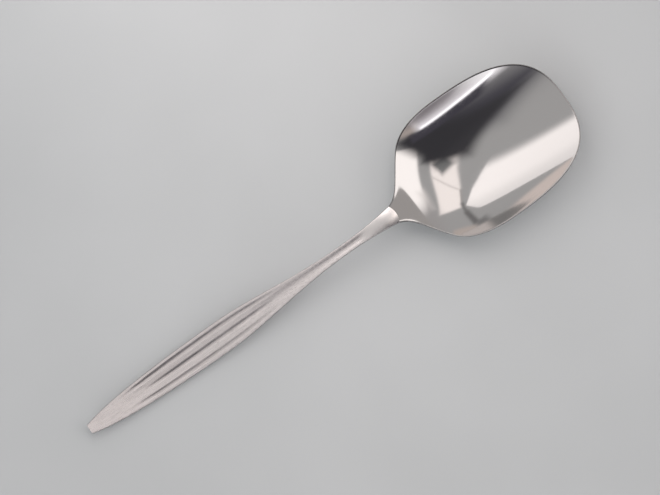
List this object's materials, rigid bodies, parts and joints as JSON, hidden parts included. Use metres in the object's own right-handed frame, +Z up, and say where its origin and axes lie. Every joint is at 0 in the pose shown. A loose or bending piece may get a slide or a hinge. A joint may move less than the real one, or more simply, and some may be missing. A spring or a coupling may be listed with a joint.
{
  "type": "potato serving spoon",
  "caption": "Serving spoon with a wide scoop-shaped polished bowl, a slim neck and a leaf-shaped satin handle with lengthwise flutes, for lifting boiled potatoes.",
  "frame": {"origin": "middle of the spoon's length and width, on the table the spoon lies on", "axes": "+X along the spoon from the end of the handle to the lip of the bowl, +Y across it, +Z up out of the bowl's hollow side"},
  "size_m": [0.215, 0.0526, 0.0151],
  "materials": {
    "polished_steel": "mirror-polished stainless steel with fine scratches along its length",
    "satin_steel": "satin stainless steel brushed along its length"
  },
  "bodies": {
    "root": {"bowl": "polished_steel", "handle": "satin_steel"}
  },
  "joints": []
}
